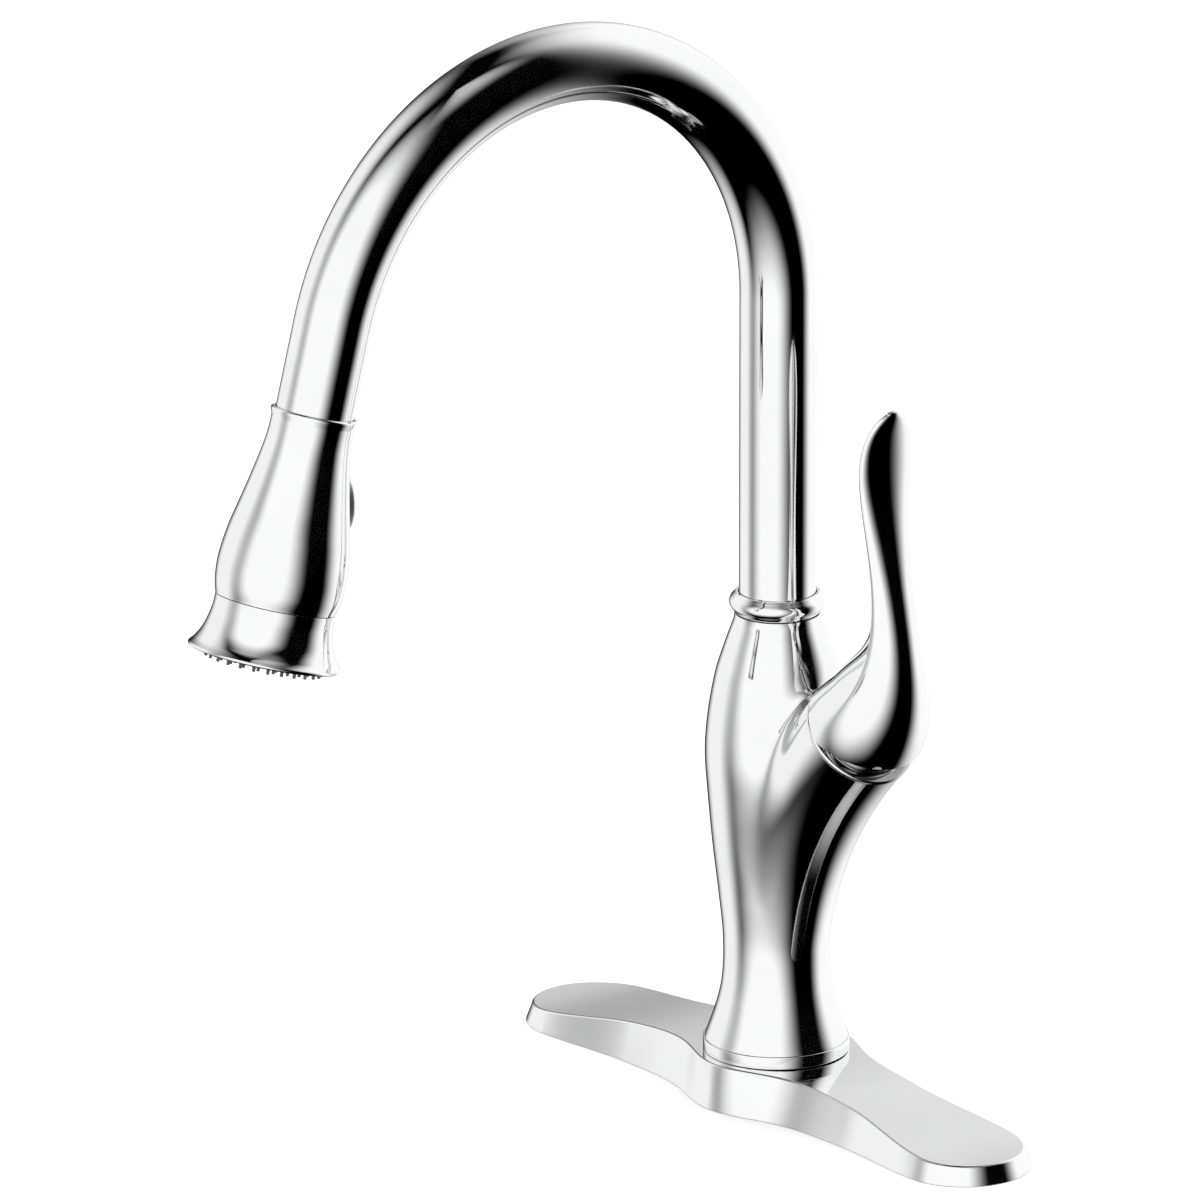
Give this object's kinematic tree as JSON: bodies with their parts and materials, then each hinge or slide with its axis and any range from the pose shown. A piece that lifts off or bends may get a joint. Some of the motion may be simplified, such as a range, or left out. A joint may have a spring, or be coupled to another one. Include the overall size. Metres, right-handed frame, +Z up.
{
  "type": "pull-down kitchen faucet",
  "caption": "Polished gooseneck kitchen faucet with a pull-down spray head, a slanted side lever and a long deck plate.",
  "frame": {"origin": "on the spout's turning axis, on the counter's top face, where the deck plate rests", "axes": "+Z up along the spout's turning axis, -Y towards the user and the spout's outlet, +X towards the lever, along the deck plate"},
  "size_m": [0.259, 0.2951, 0.4948],
  "materials": {
    "polished_chrome": "mirror-polished chrome plate",
    "turned_brass": "machined brass",
    "copper_tube": "drawn copper tube",
    "plain_steel": "plain stainless steel",
    "black_rubber": "matt black rubber",
    "grey_silicone": "soft grey silicone",
    "white_plastic": "moulded white plastic",
    "black_plastic": "moulded black plastic",
    "white_ceramic": "lapped ceramic",
    "nylon_braid": "braided nylon"
  },
  "bodies": {
    "faucet": {"deck_plate": "polished_chrome", "deck_insert": "white_plastic", "deck_gasket": "black_rubber", "base_ring": "polished_chrome", "faucet_body": "polished_chrome", "spout_spigot": "turned_brass", "lower_o_ring": "black_rubber", "upper_o_ring": "black_rubber", "swivel_washer": "white_plastic", "valve_body": "turned_brass", "hot_supply_tube": "copper_tube", "mixed_water_tube": "copper_tube", "cold_supply_tube": "copper_tube", "cartridge_seal": "black_rubber", "cartridge_housing": "white_plastic", "fixed_ceramic_disc": "white_ceramic", "cartridge_nut": "turned_brass", "bonnet": "polished_chrome", "trim_ring": "polished_chrome", "threaded_shank": "turned_brass", "rubber_washer": "black_rubber", "steel_washer": "plain_steel", "mounting_nut": "turned_brass", "left_clamp_screw": "plain_steel", "right_clamp_screw": "plain_steel"},
    "spout": {"gooseneck_spout": "polished_chrome", "spout_collar": "polished_chrome", "dock_bush": "black_plastic", "spray_hose": "nylon_braid", "hose_end_fitting": "turned_brass"},
    "spray_head": {"spray_shell": "polished_chrome", "spray_bell": "polished_chrome", "spray_face": "black_plastic", "nozzle_mat": "grey_silicone", "aerator": "plain_steel", "spray_waterway": "white_plastic", "check_valve": "black_plastic", "face_retainer": "white_plastic", "hose_swivel_nut": "turned_brass", "hose_ferrule": "plain_steel", "button_spring": "plain_steel"},
    "button": {"mode_button": "polished_chrome"},
    "turret": {"cartridge_turret": "white_plastic", "moving_ceramic_disc": "white_ceramic", "stem_pin": "plain_steel"},
    "lever": {"lever_handle": "polished_chrome", "lever_stem": "plain_steel", "handle_set_screw": "plain_steel", "screw_cover_plug": "grey_silicone"}
  },
  "joints": [
    {"name": "spout_swivel", "type": "hinge", "parent": "faucet", "child": "spout", "pos_m": [0, 0, 0.2], "axis": [0, 0, 1], "continuous": true},
    {"name": "spray_pull", "type": "slide", "parent": "spout", "child": "spray_head", "axis": [0, -0.2622, -0.965], "range_m": [0, 0.19], "stiffness_N_per_m": 8, "springref_m": -0.9, "deforming": ["spray_hose"]},
    {"name": "button_press", "type": "slide", "parent": "spray_head", "child": "button", "axis": [0, -0.9993, 0.0384], "range_m": [0, 0.0016], "stiffness_N_per_m": 400, "springref_m": -0.002, "deforming": ["button_spring"]},
    {"name": "lever_turn", "type": "hinge", "parent": "faucet", "child": "turret", "pos_m": [0.04667, 0, 0.14867], "axis": [0.7071, 0, 0.7071], "range_deg": [-45, 45]},
    {"name": "lever_lift", "type": "hinge", "parent": "turret", "child": "lever", "pos_m": [0.04667, 0, 0.14867], "axis": [0, 1, 0], "range_deg": [0, 20]}
  ]
}
